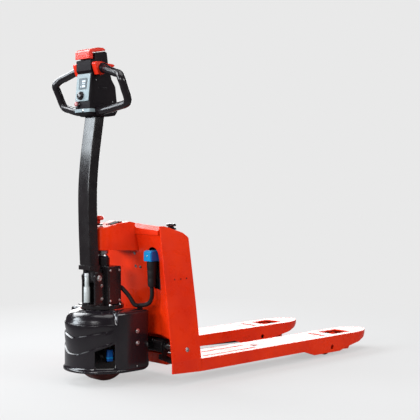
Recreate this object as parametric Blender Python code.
"""Electric pallet truck, modelled as separate parts.

Units are metres and +Z is up.  Part positions are given from the load face:
x = 0 is the back plate that the load stops against, +x runs along the forks,
y = 0 is the centre line and z = 0 is the floor.  SHIFT_X moves the whole truck
so that the world origin lies under the middle of its bounding box.
"""

import math

import bmesh
import bpy
from mathutils import Matrix, Vector

# ---- driving dimensions -------------------------------------------------
FORK_LENGTH = 1.070
FORK_WIDTH = 0.150
OVERALL_WIDTH = 0.560
FORK_TOP = 0.085
FORK_UNDER = 0.037
SHEET = 0.006
LIFT = 0.110
GAP = 0.0003

AXIS_X = -0.250             # steering axis
COVER_RADIUS = 0.150
COVER_TOP = 0.272
COVER_BOTTOM = 0.048
WHEEL_RADIUS = 0.105
WHEEL_WIDTH = 0.070

FRONT_X = -0.144            # front edge of the side plates
PANEL_LOW_X = -0.092         # middle of the front panel at its bottom edge
PANEL_HIGH_X = -0.146        # and at its top edge, where it meets the lid
PANEL_LOW_Z = 0.172
PANEL_BEND_Z = 0.310         # upright below this height, leaning forward above it
PANEL_HIGH_Z = 0.5528
SLOT_LOW_Z = 0.3450             # foot of the slot the battery connector plugs into
SIDE_TOP_Y = 0.212

SHAFT = Vector((-0.067, 0.0, 0.126))
ROCKER_LENGTH = 0.143
ROLLER_RADIUS = 0.037
ROLLER_AXLE = Vector((0.778, 0.0, ROLLER_RADIUS))
LEG_PIVOT = Vector((0.930, 0.0, 0.058))
LEG_LEVER = 0.040

TILLER_PIVOT = Vector((-0.298, 0.0, 0.392))
ARM_WIDTH = 0.066
ARM_DEPTH = 0.0425
ARM_CORNER = 0.004
ARM_FOOT = 0.4405            # bottom of the tiller arm
ARM_HEAD = 0.9945            # top of the tiller arm
THUMB_AXIS = Vector((-0.300, 0.0, 1.172))
GRIP_RADIUS = 0.015

FORK_Y = (OVERALL_WIDTH - FORK_WIDTH) / 2
COVER_FRONT = AXIS_X - COVER_RADIUS
SHIFT_X = -(FORK_LENGTH + COVER_FRONT) / 2
SHIFT = Vector((SHIFT_X, 0.0, 0.0))
ROCKER_HALF_SWING = math.asin(LIFT / 2 / ROCKER_LENGTH)
LEG_REACH = (LEG_PIVOT - ROLLER_AXLE).length
LEG_START = math.asin((LEG_PIVOT.z - ROLLER_AXLE.z) / LEG_REACH)
LEG_END = math.asin((LEG_PIVOT.z - ROLLER_AXLE.z + LIFT) / LEG_REACH)
LEG_HALF_SWING = (LEG_END - LEG_START) / 2
LEVER_LENGTH = LEG_LEVER * math.sin(LEG_HALF_SWING) / math.sin(ROCKER_HALF_SWING)

SIDES = (("left", 1), ("right", -1))
X, Y, Z = Vector((1, 0, 0)), Vector((0, 1, 0)), Vector((0, 0, 1))


# ---- materials ----------------------------------------------------------
def material(name, colour, roughness, metallic=0.0):
    made = bpy.data.materials.new(name)
    made.use_nodes = True
    shader = made.node_tree.nodes["Principled BSDF"]
    shader.inputs["Base Color"].default_value = (*colour, 1.0)
    shader.inputs["Roughness"].default_value = roughness
    shader.inputs["Metallic"].default_value = metallic
    made.diffuse_color = (*colour, 1.0)
    return made


LOOKS = {
    "red_paint": ((0.72, 0.055, 0.012), 0.30, 0.0),
    "black_paint": ((0.018, 0.014, 0.016), 0.35, 0.0),
    "black_plastic": ((0.020, 0.018, 0.020), 0.32, 0.0),
    "black_rubber": ((0.022, 0.020, 0.020), 0.70, 0.0),
    "red_plastic": ((0.62, 0.025, 0.020), 0.30, 0.0),
    "blue_plastic": ((0.010, 0.300, 0.650), 0.38, 0.0),
    "grey_panel": ((0.42, 0.48, 0.52), 0.40, 0.0),
    "display_glass": ((0.05, 0.09, 0.11), 0.10, 0.0),
    "steel": ((0.62, 0.62, 0.63), 0.28, 1.0),
    "polyurethane": ((0.16, 0.05, 0.03), 0.45, 0.0),
    "battery_grey": ((0.10, 0.10, 0.11), 0.55, 0.0),
}


# ---- building blocks ----------------------------------------------------
def clear_scene():
    for thing in list(bpy.data.objects):
        bpy.data.objects.remove(thing, do_unlink=True)


def finish_mesh(bm, name, look, origin, smooth_angle=35.0):
    """Make an object whose origin is a point of the truck, from truck-space geometry."""
    bmesh.ops.remove_doubles(bm, verts=bm.verts, dist=1e-6)
    bmesh.ops.recalc_face_normals(bm, faces=bm.faces)
    bmesh.ops.translate(bm, verts=bm.verts, vec=-Vector(origin))
    mesh = bpy.data.meshes.new(name)
    bm.to_mesh(mesh)
    bm.free()
    mesh.shade_smooth()
    mesh.set_sharp_from_angle(angle=math.radians(smooth_angle))
    thing = bpy.data.objects.new(name, mesh)
    thing.location = Vector(origin) + SHIFT
    bpy.context.scene.collection.objects.link(thing)
    if look:
        mesh.materials.append(material(name + "_" + look, *LOOKS[look]))
    return thing


def prism(name, outline, axis, low, high, look, origin=(0, 0, 0)):
    """Extrude a closed outline; its 2-D points are the two axes after `axis`, in cyclic order."""
    order = {"x": (1, 2, 0), "y": (0, 2, 1), "z": (0, 1, 2)}[axis]
    bm = bmesh.new()
    ring = []
    for a, b in outline:
        point = [0.0, 0.0, 0.0]
        point[order[0]], point[order[1]], point[order[2]] = a, b, low
        ring.append(bm.verts.new(point))
    face = bm.faces.new(ring)
    grown = bmesh.ops.extrude_face_region(bm, geom=[face])
    push = Vector((0, 0, 0))
    push[order[2]] = high - low
    moved = [g for g in grown["geom"] if isinstance(g, bmesh.types.BMVert)]
    bmesh.ops.translate(bm, verts=moved, vec=push)
    return finish_mesh(bm, name, look, origin)


def block(name, low, high, look, origin=(0, 0, 0), bevel=0.0, segments=2):
    outline = [(low[0], low[1]), (high[0], low[1]), (high[0], high[1]), (low[0], high[1])]
    thing = prism(name, outline, "z", low[2], high[2], look, origin)
    if bevel:
        round_edges(thing, bevel, segments)
    return thing


def turned(name, profile, centre, axis, look, origin=None, steps=32):
    """Spin a closed (radius, height) profile about an axis through `centre`."""
    bm = bmesh.new()
    verts = [bm.verts.new((r, 0.0, h)) for r, h in profile]
    edges = [bm.edges.new((verts[i], verts[(i + 1) % len(verts)])) for i in range(len(verts))]
    bmesh.ops.spin(bm, geom=verts + edges, axis=(0, 0, 1), cent=(0, 0, 0),
                   steps=steps, angle=math.tau, use_merge=True)
    bmesh.ops.dissolve_degenerate(bm, dist=1e-7, edges=bm.edges)
    turn = Z.rotation_difference(Vector(axis)).to_matrix().to_4x4()
    bmesh.ops.transform(bm, matrix=Matrix.Translation(Vector(centre)) @ turn, verts=bm.verts)
    return finish_mesh(bm, name, look, centre if origin is None else origin)


def rod(name, start, end, radius, look, origin=None, steps=24, chamfer=0.0):
    start, end = Vector(start), Vector(end)
    length = (end - start).length
    c = chamfer
    profile = [(0, 0), (radius - c, 0), (radius, c), (radius, length - c), (radius - c, length),
               (0, length)]
    if not c:
        profile = [(0, 0), (radius, 0), (radius, length), (0, length)]
    return turned(name, profile, start, end - start, look, origin or start, steps)


def ring(name, inner, outer, low, high, centre, axis, look, origin=None, steps=40):
    profile = [(inner, low), (outer, low), (outer, high), (inner, high)]
    return turned(name, profile, centre, axis, look, origin, steps)


def round_edges(thing, width, segments=2, angle=40.0):
    bevel = thing.modifiers.new("rounded_edges", "BEVEL")
    bevel.width = width
    bevel.segments = segments
    bevel.limit_method = "ANGLE"
    bevel.angle_limit = math.radians(angle)
    return thing


def combine(thing, other, operation="DIFFERENCE"):
    """Boolean with a guide object that is hidden from the model."""
    boolean = thing.modifiers.new(operation.lower(), "BOOLEAN")
    boolean.operation = operation
    boolean.object = other
    other.hide_render = True
    other.display_type = "WIRE"
    return thing


def cut(thing, *cutters):
    for cutter in cutters:
        combine(thing, cutter)
    return thing


def add(thing, *extras):
    for extra in extras:
        combine(thing, extra, "UNION")
    return thing


def arc(cx, cy, radius, start, end, count):
    return [(cx + radius * math.cos(math.radians(start + (end - start) * i / count)),
             cy + radius * math.sin(math.radians(start + (end - start) * i / count)))
            for i in range(count + 1)]


def smooth_path(points, count):
    """Points spread along a Catmull-Rom curve through the given ones."""
    points = [Vector(p) for p in points]
    padded = [2 * points[0] - points[1]] + points + [2 * points[-1] - points[-2]]
    path = []
    spans = len(points) - 1
    for i in range(count + 1):
        place = min(i / count * spans, spans - 1e-9)
        k = int(place)
        t = place - k
        a, b, c, d = padded[k:k + 4]
        path.append(0.5 * (2 * b + (c - a) * t + (2 * a - 5 * b + 4 * c - d) * t * t
                           + (3 * b - 3 * c + d - a) * t ** 3))
    return path


def cable(name, points, radius, look, count, resolution=2):
    curve = bpy.data.curves.new(name, "CURVE")
    curve.dimensions = "3D"
    curve.bevel_depth = radius
    curve.bevel_resolution = resolution
    curve.use_fill_caps = True
    spline = curve.splines.new("POLY")
    path = smooth_path(points, count) if count else points
    spline.points.add(len(path) - 1)
    for target, point in zip(spline.points, path):
        target.co = (*point, 1.0)
    curve.materials.append(material(name + "_" + look, *LOOKS[look]))
    thing = bpy.data.objects.new(name, curve)
    thing.location = SHIFT
    bpy.context.scene.collection.objects.link(thing)
    return thing


def loft(name, sections, look, origin=(0, 0, 0), smooth_angle=35.0):
    """Skin closed loops of equal length, with flat ends."""
    bm = bmesh.new()
    loops = [[bm.verts.new(p) for p in section] for section in sections]
    for lower, upper in zip(loops, loops[1:]):
        for i in range(len(lower)):
            j = (i + 1) % len(lower)
            bm.faces.new((lower[i], lower[j], upper[j], upper[i]))
    bm.faces.new(loops[0])
    bm.faces.new(loops[-1])
    bmesh.ops.triangulate(bm, faces=[f for f in bm.faces if len(f.verts) > 3])
    return finish_mesh(bm, name, look, origin, smooth_angle)


# ---- forks and chassis --------------------------------------------------
def fork(name, side):
    """Channel-section fork: flat top, deep sides round the load roller, rounded tip."""
    y = FORK_Y * side
    half = FORK_WIDTH / 2
    tip = FORK_LENGTH

    def plan(inset, start, end):
        w = half - inset
        return [(start, y - w), (end - 0.110, y - w), (end - 0.060, y - w + 0.012),
                (end - 0.020, y - w + 0.036), (end, y - w + 0.060), (end, y + w - 0.060),
                (end - 0.020, y + w - 0.036), (end - 0.060, y + w - 0.012),
                (end - 0.110, y + w), (start, y + w)]

    body = prism(name, plan(0.0, GAP, tip), "z", 0.0, FORK_TOP, "red_paint")
    profile = [(-0.01, FORK_UNDER), (0.595, FORK_UNDER), (0.660, 0.016), (0.830, 0.015),
               (0.868, 0.025), (0.971, 0.043), (1.030, 0.060), (tip - 0.002, 0.076),
               (tip + 0.01, FORK_TOP + 0.01), (-0.01, FORK_TOP + 0.01)]
    shape = prism(name + "_profile", profile, "y", y - half - 0.01, y + half + 0.01, None)
    combine(body, shape, "INTERSECT")
    hollow = prism(name + "_hollow", plan(SHEET, -0.02, tip - 0.018), "z", -0.01,
                   FORK_TOP - SHEET, None)
    slot = block(name + "_slot", (0.752, y - 0.045, 0.05), (0.770, y + 0.045, 0.1), None)
    window = block(name + "_window", (0.822, y - 0.044, 0.05), (0.940, y + 0.044, 0.1), None,
                   bevel=0.008)
    window.modifiers[0].limit_method = "NONE"
    hole = rod(name + "_axle_hole", (ROLLER_AXLE.x, y - 0.09, ROLLER_AXLE.z),
               (ROLLER_AXLE.x, y + 0.09, ROLLER_AXLE.z), 0.010, None)
    return cut(body, hollow, slot, window, hole)


LEAN = (OVERALL_WIDTH / 2 - SIDE_TOP_Y) / (0.566 - FORK_TOP)


def side_y(z):
    """Outer face of a side plate at height z: upright at the fork, leaning in above it."""
    return OVERALL_WIDTH / 2 - LEAN * max(0.0, z - FORK_TOP)


def side_plate(name, side):
    outline = [(FRONT_X, FORK_TOP), (-GAP, FORK_TOP), (-GAP, 0.300),
               (-0.006, 0.538), (-0.012, 0.545), (-0.034, 0.560), (-0.108, 0.583),
               (-0.125, 0.587), (FRONT_X, 0.587)]
    bm = bmesh.new()
    loops = []
    for depth in (0.0, SHEET):
        loops.append([bm.verts.new((x, side * (side_y(z) - depth), z)) for x, z in outline])
    for i in range(len(outline)):
        j = (i + 1) % len(outline)
        bm.faces.new((loops[0][i], loops[0][j], loops[1][j], loops[1][i]))
    bm.faces.new(loops[0])
    bm.faces.new(loops[1])
    plate = finish_mesh(bm, name, "red_paint", (0, 0, 0))
    low, high = sorted((side * OVERALL_WIDTH / 2, side * (OVERALL_WIDTH / 2 - SHEET)))
    skirt = prism(name + "_skirt", [(FRONT_X, 0.044), (-GAP, FORK_UNDER), (-GAP, 0.087),
                                    (FRONT_X, 0.087)], "y", low, high, None)
    return add(plate, skirt)


def panel_x(z):
    """Front face of the front panel's flat middle at height z: above its bend it leans forward."""
    lean = max(0.0, (z - PANEL_BEND_Z) / (PANEL_HIGH_Z - PANEL_BEND_Z))
    return PANEL_LOW_X + (PANEL_HIGH_X - PANEL_LOW_X) * lean


def front_panel():
    """Bent sheet: leaning middle, and outer facets that run to the side plates."""
    sheet = 0.004

    def section(z, fold):
        edge = side_y(z) - SHEET - 0.0010
        middle, outer = panel_x(z), FRONT_X + 0.002
        line = [(outer, edge), (middle, fold), (middle, -fold), (outer, -edge)]
        back = [(x + sheet, y) for x, y in reversed(line)]
        return [(x, y, z) for x, y in line + back]
    levels = ((PANEL_LOW_Z, 0.150), (PANEL_BEND_Z, 0.136), (PANEL_HIGH_Z, 0.112))
    panel = loft("front_panel", [section(z, fold) for z, fold in levels], "red_paint")
    slot = prism("connector_slot", [(-0.180, SLOT_LOW_Z), (-0.126, SLOT_LOW_Z)]
                 + arc(-0.153, 0.480, 0.027, 0, 180, 12), "x", -0.2, -0.05, None)
    return cut(panel, slot)


def load_plate():
    def section(z):
        edge = side_y(z) - SHEET - 0.0010
        return [(-0.006, -edge, z), (-0.0005, -edge, z), (-0.0005, edge, z), (-0.006, edge, z)]
    return loft("load_plate", [section(0.088), section(0.5360)], "red_paint")


def battery_lid():
    """Crowned cover between the side plates, with a chamfered front lip."""
    half = 0.2020
    outline = [(-0.150, 0.5545), (-0.149, 0.5535), (-0.060, 0.5535), (-0.0075, 0.5370),
               (-0.0150, 0.5430), (-0.036, 0.5570), (-0.108, 0.5800), (-0.130, 0.5840),
               (-0.150, 0.5700)]
    sections = []
    for y, crown in ((-half, 0.0), (-0.085, 0.008), (0.0, 0.013), (0.085, 0.008), (half, 0.0)):
        sections.append([(x, y, z + (crown if z > 0.562 else 0.0)) for x, z in outline])
    return loft("battery_lid", sections, "red_paint")


HOOD_HALF = 0.0415


def hood():
    """Nose over the lift cylinder; its round front lets the tiller swing past it."""
    low, joint, high = 0.4900, 0.5530, 0.5960
    outline = [(-0.300, low + 0.006), (panel_x(low) - 0.0008, low),
               (panel_x(PANEL_HIGH_Z) - 0.0008, joint), (-0.1504, joint), (-0.1504, high),
               (-0.168, high + 0.005), (-0.300, high - 0.021)]
    nose = prism("hood", outline, "y", -0.1, 0.1, "red_paint")
    flare = [(-0.212, -HOOD_HALF), (-0.152, -0.073), (0.0, -0.075), (0.0, 0.075),
             (-0.152, 0.073), (-0.212, HOOD_HALF)]
    shape = prism("hood_plan", flare + arc(AXIS_X, 0.0, HOOD_HALF, 90, 270, 20), "z", 0.4, 0.7,
                  None)
    combine(nose, shape, "INTERSECT")
    return nose


def chassis():
    for label, side in SIDES:
        fork("fork_" + label, side)
        side_plate("side_plate_" + label, side)
    front_panel()
    load_plate()
    battery_lid()
    hood()
    block("cross_beam", (-0.040, -0.128, 0.045), (-0.0075, 0.128, 0.087), "red_paint", bevel=0.003)
    block("battery", (-0.080, -0.190, 0.200), (-0.012, 0.190, 0.500), "battery_grey", bevel=0.004)
    ring("thrust_cup", 0.010, 0.022, 0.0, 0.0130, (AXIS_X, 0, 0.4802), Z, "steel")
    end = side_y(SHAFT.z + 0.012) - SHEET - 0.0010
    rod("rocker_shaft", (SHAFT.x, -end, SHAFT.z), (SHAFT.x, end, SHAFT.z), 0.012, "steel",
        chamfer=0.001)
    block("hood_grip", (-0.228, -0.014, 0.5992), (-0.176, 0.014, 0.6062), "black_plastic",
          bevel=0.003)
    for label, side in SIDES:
        inner = FORK_WIDTH / 2 - SHEET - 0.0005
        y = FORK_Y * side
        rod("leg_pin_" + label, (LEG_PIVOT.x, y - inner, LEG_PIVOT.z),
            (LEG_PIVOT.x, y + inner, LEG_PIVOT.z), 0.009, "steel", chamfer=0.001)
    block("battery_connector", (-0.158, -0.173, 0.453), (-0.100, -0.131, 0.4945), "blue_plastic",
          bevel=0.005)
    block("connector_boot", (-0.158, -0.174, 0.356), (-0.120, -0.138, 0.4525), "black_rubber",
          bevel=0.006)
    ring("charge_socket", 0.007, 0.018, 0.0, 0.024, (-0.046, -0.160, 0.5705), Z,
         "black_plastic")


def chassis_buttons():
    ring("stop_collar", 0.0098, 0.019, 0.0, 0.006, (-0.262, 0.012, 0.5878), Z, "black_plastic")
    turned("stop_button", [(0, 0), (0.009, 0), (0.009, 0.012), (0.020, 0.015), (0.022, 0.020),
                           (0.019, 0.027), (0.010, 0.030), (0, 0.0305)],
           (-0.262, 0.012, 0.5942), Z, "red_plastic")


# ---- drive end ----------------------------------------------------------
COVER_WALL = 0.004
TRUNNION = Vector((SHAFT.x - ROCKER_LENGTH * (1 + math.cos(ROCKER_HALF_SWING)) / 2, 0.0,
                   SHAFT.z + LIFT / 2))
ARM_Y = 0.085
WING_X = -0.138


def cover_outline(inset):
    """Round front about the steering axis, running on as straight wings to the rear."""
    radius = COVER_RADIUS - inset
    rim = arc(AXIS_X, 0.0, radius, 65, 295, 32)
    x, y = rim[0]
    wing_y = y - (WING_X - x) / math.tan(math.radians(90 - 25))
    return [(WING_X, wing_y)] + rim + [(WING_X, -wing_y)]


def drive_cover():
    outer, inner = cover_outline(0.0), cover_outline(COVER_WALL)
    shell = prism("drive_cover", outer + inner[::-1], "z", COVER_BOTTOM, COVER_TOP,
                  "black_plastic")
    roof = prism("cover_roof", cover_outline(0.001), "z", COVER_TOP - 0.006, COVER_TOP - 0.0005,
                 None)
    well = rod("cover_well", (AXIS_X, 0, 0.2), (AXIS_X, 0, 0.3), 0.083, None, steps=40)
    rear = block("cover_rear", (-0.170, -0.096, 0.2), (-0.1, 0.096, 0.3), None)
    add(shell, roof)
    cut(shell, well, rear)
    for label, side in SIDES:
        window = block("cover_window_" + label, (0.10, -0.042, 0.020), (0.20, 0.042, 0.092), None,
                       bevel=0.010)
        window.location = (AXIS_X + SHIFT_X, 0.0, COVER_BOTTOM)
        window.rotation_euler = (0.0, 0.0, math.radians(127 * side))
        cut(shell, window)
    return shell


def base():
    """Everything that stays put at the drive end while the wheel steers below it."""
    drive_cover()
    yoke = ring("yoke_ring", 0.0645, 0.128, 0.226, 0.244, (AXIS_X, 0, 0), Z, "black_paint")
    for label, side in SIDES:
        low, high = sorted((side * (ARM_Y + 0.0065), side * (ARM_Y + 0.0165)))
        ear = [(TRUNNION.x - 0.016, 0.235)] + arc(TRUNNION.x, TRUNNION.z, 0.016, 180, 360, 10)
        ear += [(TRUNNION.x + 0.016, 0.235)]
        plate = prism("yoke_ear_" + label, ear, "y", low, high, None)
        pin = rod("trunnion_" + label, (TRUNNION.x, side * (ARM_Y - 0.0095), TRUNNION.z),
                  (TRUNNION.x, side * (ARM_Y + 0.0195), TRUNNION.z), 0.007, None, chamfer=0.001)
        add(yoke, plate, pin)
    ring("steering_bearing", 0.0453, 0.0642, 0.227, 0.243, (AXIS_X, 0, 0), Z, "steel")
    block("cable_clip", (-0.166, -0.1175, 0.2723), (-0.150, -0.1000, 0.2762), "black_plastic",
          bevel=0.002)


def steering_unit():
    turned("turntable", [(0, 0.2205), (0.045, 0.2205), (0.045, 0.2760), (0.080, 0.2760),
                         (0.080, 0.2900), (0, 0.2900)], (AXIS_X, 0, 0), Z, "black_paint",
           steps=40)
    fork_end = turned("drive_fork", [(0, 0.2125), (0.075, 0.2125), (0.075, 0.2202), (0, 0.2202)],
                      (AXIS_X, 0, 0), Z, "black_paint", steps=40)
    for label, side in SIDES:
        low, high = sorted((side * 0.0415, side * 0.0515))
        leg = block("drive_leg_" + label, (AXIS_X - 0.028, low, 0.080),
                    (AXIS_X + 0.028, high, 0.2160), None)
        bore = rod("drive_leg_bore_" + label, (AXIS_X, side * 0.03, WHEEL_RADIUS),
                   (AXIS_X, side * 0.07, WHEEL_RADIUS), 0.0103, None)
        add(fork_end, leg)
        cut(fork_end, bore)
    rod("drive_axle", (AXIS_X, -0.055, WHEEL_RADIUS), (AXIS_X, 0.055, WHEEL_RADIUS), 0.010,
        "steel", chamfer=0.001)
    unit = block("power_unit", (-0.272, -0.060, 0.2903), (-0.208, 0.060, 0.4350), "black_paint",
                 bevel=0.003)
    bore = rod("ram_bore", (AXIS_X, 0, 0.295), (AXIS_X, 0, 0.5), 0.0163, None)
    cut(unit, bore)
    ring("cylinder_gland", 0.0163, 0.027, 0.0, 0.030, (AXIS_X, 0, 0.4353), Z, "black_paint",
         steps=32)
    bracket = block("tiller_bracket", (-0.337, -0.038, 0.2903), (-0.2725, 0.038, 0.2950),
                    "black_paint")
    for label, side in SIDES:
        low, high = sorted((side * 0.0335, side * 0.0415))
        outline = [(-0.3170, 0.2904), (-0.2727, 0.2904), (-0.2727, 0.405)]
        outline += arc(TILLER_PIVOT.x, TILLER_PIVOT.z, 0.022, 30, 165, 8)
        outline += [(-0.3170, 0.380)]
        cheek = prism("tiller_cheek_" + label, outline, "y", low, high, None)
        bore = rod("cheek_bore_" + label, (TILLER_PIVOT.x, side * 0.03, TILLER_PIVOT.z),
                   (TILLER_PIVOT.x, side * 0.05, TILLER_PIVOT.z), 0.0083, None)
        cut(cheek, bore)
        add(bracket, cheek)
    rod("tiller_pin", (TILLER_PIVOT.x, -0.045, TILLER_PIVOT.z),
        (TILLER_PIVOT.x, 0.045, TILLER_PIVOT.z), 0.008, "steel", chamfer=0.001)


def lift_ram():
    rod("lift_ram", (AXIS_X, 0, 0.3000), (AXIS_X, 0, 0.4798), 0.016, "steel", chamfer=0.001)


def drive_wheel():
    centre = (AXIS_X, 0, WHEEL_RADIUS)
    w = WHEEL_WIDTH / 2
    turned("drive_tyre", [(0.080, -w + 0.002), (0.097, -w), (0.103, -w + 0.005),
                          (WHEEL_RADIUS, -w + 0.014), (WHEEL_RADIUS, w - 0.014),
                          (0.103, w - 0.005), (0.097, w), (0.080, w - 0.002)],
           centre, Y, "polyurethane", steps=48)
    turned("hub_motor", [(0.0103, -w - 0.003), (0.030, -w - 0.003), (0.036, -w + 0.008),
                         (0.0797, -w + 0.006), (0.0797, w - 0.006), (0.036, w - 0.008),
                         (0.030, w + 0.003), (0.0103, w + 0.003)], centre, Y, "black_paint", steps=40)


# ---- tiller -------------------------------------------------------------
def arm_front(z):
    """Front face of the bowed arm at height z."""
    t = (z - ARM_FOOT) / (ARM_HEAD - ARM_FOOT)
    bow = 0.007 * math.sin(math.pi * min(1.0, 1.1 * t))
    return -0.334 - bow + 0.0768 * max(0.0, t - 0.45) ** 1.7


def tiller_arm():
    """Bowed box-section arm with small rounded corners."""
    half, r = ARM_WIDTH / 2 - ARM_CORNER, ARM_CORNER
    steps = 16
    sections = []
    for i in range(steps + 1):
        z = ARM_FOOT + (ARM_HEAD - ARM_FOOT) * i / steps
        front, back = arm_front(z) + r, arm_front(z) + ARM_DEPTH - r
        loop = []
        for cx, cy, start in ((back, -half, -90), (back, half, 0), (front, half, 90),
                              (front, -half, 180)):
            loop += arc(cx, cy, r, start, start + 90, 3)
        sections.append([(x, y, z) for x, y in loop])
    return loft("tiller_arm", sections, "black_paint", TILLER_PIVOT)


def tiller():
    pivot = TILLER_PIVOT
    tiller_arm()
    collar = block("arm_collar", (-0.3370, -0.0345, 0.4230), (-0.2875, 0.0345, 0.4400), None)
    knuckle = prism("tiller_knuckle", [(-0.318, 0.4240)] + arc(pivot.x, pivot.z, 0.020, 180, 360, 12)
                    + [(-0.278, 0.4240)], "y", -0.0325, 0.0325, "black_paint", pivot)
    bore = rod("knuckle_bore", (pivot.x, -0.05, pivot.z), (pivot.x, 0.05, pivot.z), 0.0083, None)
    slot = block("knuckle_slot", (-0.35, -0.0130, 0.36), (-0.3105, 0.0130, 0.4235), None)
    add(knuckle, collar)
    cut(knuckle, bore, slot)
    round_edges(knuckle, 0.0015, 1)
    head(pivot)
    handles()


PANEL_TOP = Vector((-0.3310, 0.0, 1.1560))
PANEL_LOW = Vector((-0.3430, 0.0, 1.0480))
PANEL_DOWN = (PANEL_LOW - PANEL_TOP).normalized()
PANEL_OUT = Vector((-PANEL_DOWN.z, 0.0, PANEL_DOWN.x)) * -1.0


def on_panel(down, y, out):
    """A point given by its distance down the panel, across it and out of it."""
    place = PANEL_TOP + PANEL_DOWN * down + PANEL_OUT * out
    return Vector((place.x, y, place.z))


def panel_block(name, down, across, out, look, origin, bevel=0.0):
    corners = [on_panel(down[0], 0, out[0]), on_panel(down[1], 0, out[0]),
               on_panel(down[1], 0, out[1]), on_panel(down[0], 0, out[1])]
    made = prism(name, [(c.x, c.z) for c in corners], "y", across[0], across[1], look, origin)
    return round_edges(made, bevel) if bevel else made


def head(pivot):
    outline = [(-0.3180, 0.9950), (-0.3410, 1.0100), (-0.3425, 1.0465), (-0.3305, 1.1560),
               (-0.3370, 1.1620), (-0.3370, 1.2030), (-0.3165, 1.2030), (-0.3165, 1.2290),
               (-0.2690, 1.2370), (-0.2600, 1.2330), (-0.2540, 1.1900), (-0.2380, 1.1350),
               (-0.2200, 1.1080), (-0.2130, 1.0500), (-0.2110, 1.0150), (-0.2220, 1.0000),
               (-0.2550, 0.9950)]
    shell = prism("head_housing", outline, "y", -0.0450, 0.0450, "black_plastic", pivot)
    round_edges(shell, 0.003, 2)
    panel_block("head_panel", (0.004, 0.104), (-0.040, 0.040), (0.0004, 0.0030), "grey_panel",
                pivot)
    panel_block("display", (0.022, 0.060), (-0.022, 0.022), (0.0033, 0.0048), "display_glass",
                pivot)
    panel_block("trim_band", (0.128, 0.140), (-0.0430, 0.0430), (0.0045, 0.0065), "grey_panel",
                pivot)
    belly = [(-0.3430, 1.2060), (-0.3240, 1.2060), (-0.3240, 1.2300), (-0.2665, 1.2397),
             (-0.2650, 1.2440), (-0.2750, 1.2500), (-0.2980, 1.2500), (-0.3320, 1.2420),
             (-0.3430, 1.2330)]
    button = prism("belly_button", belly, "y", -0.0420, 0.0420, "red_plastic", pivot)
    round_edges(button, 0.002, 2)
    for label, side in SIDES:
        low, high = sorted((side * 0.0455, side * 0.0705))
        wing = [(-0.3210, 1.1470), (-0.2990, 1.1470), (-0.2830, 1.1600), (-0.2780, 1.1745),
                (-0.2500, 1.1780), (-0.2420, 1.1830), (-0.2480, 1.1885), (-0.2780, 1.1900),
                (-0.2950, 1.1945), (-0.3300, 1.1940), (-0.3340, 1.1880), (-0.3300, 1.1720)]
        paddle = prism("throttle_" + label, wing, "y", low, high, "red_plastic", THUMB_AXIS)
        bore = rod("throttle_bore_" + label, THUMB_AXIS - Y * 0.1, THUMB_AXIS + Y * 0.1,
                   GRIP_RADIUS + 0.0008, None)
        round_edges(cut(paddle, bore), 0.0015, 2)
    knob_seat = on_panel(0.086, 0.006, 0.0033)
    turned("key_switch", [(0, 0), (0.0165, 0), (0.0165, 0.006), (0.0140, 0.012), (0, 0.013)],
           knob_seat, PANEL_OUT, "black_plastic", steps=24)
    horn_seat = on_panel(0.116, 0.026, 0.0045)
    turned("horn_button", [(0, 0), (0.0090, 0), (0.0090, 0.004), (0.0070, 0.006), (0, 0.0065)],
           horn_seat, PANEL_OUT, "red_plastic", steps=24)


def handles():
    """Hexagonal loops of grip tube; the upper ends run through the throttles."""
    loop = [(-0.300, 0.0460, 1.1720), (-0.300, 0.0620, 1.1720), (-0.300, 0.0780, 1.1720),
            (-0.304, 0.1000, 1.1640),
            (-0.309, 0.1500, 1.1490), (-0.312, 0.1810, 1.1400), (-0.319, 0.2000, 1.1230),
            (-0.311, 0.2020, 1.1040), (-0.303, 0.2005, 1.0860), (-0.292, 0.2000, 1.0620),
            (-0.286, 0.1960, 1.0460), (-0.285, 0.1840, 1.0355), (-0.291, 0.1450, 1.0275),
            (-0.297, 0.1090, 1.0200), (-0.300, 0.0750, 1.0150), (-0.300, 0.0460, 1.0150)]
    for label, side in SIDES:
        points = [(x, y * side, z) for x, y, z in loop]
        cable("handle_" + label, points, GRIP_RADIUS, "black_rubber", 45, 3)


def gas_spring():
    """Upright spring under the tiller: its rod slides into a bored tube."""
    foot = Vector((-0.3245, 0.0, 0.3020))
    outer, bore, low, floor, top = 0.0110, 0.0050, -0.0060, 0.0020, 0.0580
    turned("spring_tube", [(0, low), (outer, low), (outer, top), (bore, top), (bore, floor),
                           (0, floor)], foot, Z, "steel", foot, steps=24)
    rod("spring_rod", foot + Z * 0.0470, foot + Z * 0.1040, 0.0045, "steel", foot)


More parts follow.
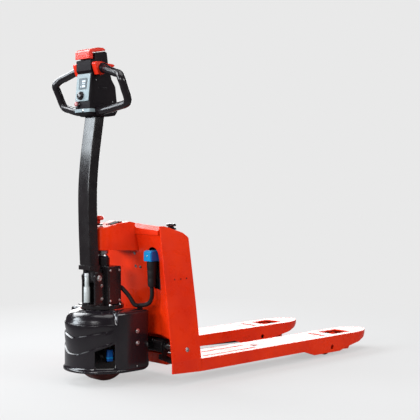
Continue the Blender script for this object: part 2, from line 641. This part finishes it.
# ---- lifting linkage ----------------------------------------------------
def rocker():
    tube = ring("rocker", 0.0123, 0.020, -0.162, 0.162, SHAFT, Y, "black_paint", SHAFT, steps=32)
    forward = Vector((-math.cos(ROCKER_HALF_SWING), 0.0, math.sin(ROCKER_HALF_SWING)))
    across = Vector((forward.z, 0.0, -forward.x))
    mean_reach = (SHAFT - TRUNNION).length
    for label, side in SIDES:
        low, high = sorted((side * (ARM_Y - 0.005), side * (ARM_Y + 0.005)))
        tip = SHAFT + forward * (mean_reach + 0.017)
        root = SHAFT + forward * 0.008
        corners = [root - across * 0.017, tip - across * 0.018, tip + across * 0.018,
                   root + across * 0.017]
        arm = prism("rocker_arm_" + label, [(c.x, c.z) for c in corners], "y", low, high, None)
        start, end = SHAFT + forward * (mean_reach - 0.020), SHAFT + forward * (mean_reach + 0.010)
        bore = prism("rocker_slot_" + label,
                     [((start - across * 0.0115).x, (start - across * 0.0115).z),
                      ((end - across * 0.0115).x, (end - across * 0.0115).z),
                      ((end + across * 0.0115).x, (end + across * 0.0115).z),
                      ((start + across * 0.0115).x, (start + across * 0.0115).z)],
                     "y", low - 0.01, high + 0.01, None)
        lever_end = lever_pin()
        low, high = sorted((side * 0.1525, side * 0.1605))
        lever = prism("rocker_lever_" + label,
                      [(SHAFT.x + 0.014, SHAFT.z - 0.010), (lever_end.x + 0.011, lever_end.z - 0.003),
                       (lever_end.x, lever_end.z - 0.011), (lever_end.x - 0.011, lever_end.z - 0.003),
                       (SHAFT.x - 0.014, SHAFT.z - 0.008)], "y", low, high, None)
        pin = rod("lever_pin_" + label, (lever_end.x, side * 0.1405, lever_end.z),
                  (lever_end.x, side * 0.1565, lever_end.z), 0.006, None)
        add(tube, arm, lever, pin)
        cut(tube, bore)
    clear = rod("rocker_clear", (SHAFT.x, -0.2, SHAFT.z), (SHAFT.x, 0.2, SHAFT.z), 0.0123, None,
                steps=32)
    return cut(tube, clear)


def lever_pin():
    """Where the rocker's lever carries the push rod, with the truck lowered."""
    return SHAFT + LEVER_LENGTH * Vector((-math.sin(ROCKER_HALF_SWING), 0.0,
                                          -math.cos(ROCKER_HALF_SWING)))


def leg_lever_pin():
    return LEG_PIVOT + LEG_LEVER * Vector((-math.sin(LEG_HALF_SWING), 0.0,
                                           -math.cos(LEG_HALF_SWING)))


def push_rods():
    near, far = lever_pin(), leg_lever_pin()
    for label, side in SIDES:
        low, high = sorted((side * 0.1430, side * 0.1510))
        drop = Vector((-0.030, 0.0, 0.058))
        outline = [(near.x - 0.010, near.z + 0.010), (near.x - 0.010, near.z - 0.008),
                   (drop.x - 0.004, drop.z - 0.007), (far.x - 0.02, far.z - 0.006),
                   (far.x + 0.011, far.z - 0.006), (far.x + 0.011, far.z + 0.010),
                   (drop.x + 0.004, drop.z + 0.009), (near.x + 0.012, near.z + 0.010)]
        bar = prism("push_rod_" + label, outline, "y", low, high, "black_paint",
                    (near.x, 0.1470 * side, near.z))
        bore = rod("push_rod_bore_" + label, (near.x, low - 0.01, near.z),
                   (near.x, high + 0.01, near.z), 0.0063, None)
        eye = rod("push_rod_eye_" + label, (far.x, low - 0.01, far.z), (far.x, high + 0.01, far.z),
                  0.0055, None)
        cut(bar, bore, eye)


def load_legs():
    """Roller brackets that swing down under the forks."""
    for label, side in SIDES:
        y = FORK_Y * side
        toe = leg_lever_pin()
        outline = [(ROLLER_AXLE.x - 0.016, 0.046), (ROLLER_AXLE.x - 0.016, 0.030),
                   (ROLLER_AXLE.x, 0.021), (toe.x - 0.016, 0.013), (toe.x + 0.006, 0.012),
                   (LEG_PIVOT.x + 0.016, 0.050), (LEG_PIVOT.x + 0.015, 0.068),
                   (LEG_PIVOT.x, 0.0755), (LEG_PIVOT.x - 0.030, 0.072)]
        plates = []
        for end in (-1, 1):
            low, high = sorted((y + end * 0.0425, y + end * 0.0495))
            name = "load_leg_" + label if end < 0 else "leg_plate_" + label
            plates.append(prism(name, outline, "y", low, high, "red_paint" if end < 0 else None,
                                LEG_PIVOT if end < 0 else (0, 0, 0)))
        web = block("leg_web_" + label, (LEG_PIVOT.x - 0.090, y - 0.044, 0.050),
                    (LEG_PIVOT.x - 0.020, y + 0.044, 0.060), None)
        inner = -side
        pin = rod("leg_lever_pin_" + label, (toe.x, y + inner * 0.045, toe.z),
                  (toe.x, y + inner * 0.0655, toe.z), 0.0040, None)
        add(plates[0], plates[1], web, pin)
        for place, radius, tag in ((LEG_PIVOT, 0.0093, "pivot"), (ROLLER_AXLE, 0.0083, "axle")):
            bore = rod("leg_bore_" + tag + "_" + label, (place.x, y - 0.06, place.z),
                       (place.x, y + 0.06, place.z), radius, None)
            cut(plates[0], bore)
        rod("roller_axle_" + label, (ROLLER_AXLE.x, y - 0.052, ROLLER_AXLE.z),
            (ROLLER_AXLE.x, y + 0.052, ROLLER_AXLE.z), 0.008, "steel", chamfer=0.001)
        r = ROLLER_RADIUS
        turned("load_roller_" + label, [(0.0083, -0.040), (r - 0.003, -0.040), (r, -0.036),
                                        (r, 0.036), (r - 0.003, 0.040), (0.0083, 0.040)],
               (ROLLER_AXLE.x, y, ROLLER_AXLE.z), Y, "polyurethane", steps=32)


# ---- battery lead -------------------------------------------------------
def battery_lead():
    """Lead from the power unit, over the clip on the cover and up into the connector boot."""
    radius = 0.0080
    route = [(-0.2056, -0.0460, 0.3500), (-0.1950, -0.0465, 0.3499), (-0.1800, -0.0700, 0.3200),
             (-0.1700, -0.0910, 0.2880), (-0.1560, -0.1090, 0.2850), (-0.1440, -0.1290, 0.2885),
             (-0.1380, -0.1450, 0.3000), (-0.1380, -0.1560, 0.3250), (-0.1390, -0.1560, 0.3555)]
    path = smooth_path(route, 32)
    middle = len(path) // 2
    along = (path[middle + 1] - path[middle - 1]).normalized()
    lower = path[:middle] + [path[middle] - along * GAP]
    upper = [path[middle] + along * GAP] + path[middle + 1:]
    cable("lead_lower", lower, radius, "black_rubber", 0)
    cable("lead_upper", upper, radius, "black_rubber", 0)


def build():
    clear_scene()
    base()
    steering_unit()
    lift_ram()
    drive_wheel()
    tiller()
    gas_spring()
    chassis()
    chassis_buttons()
    rocker()
    push_rods()
    load_legs()
    battery_lead()


build()
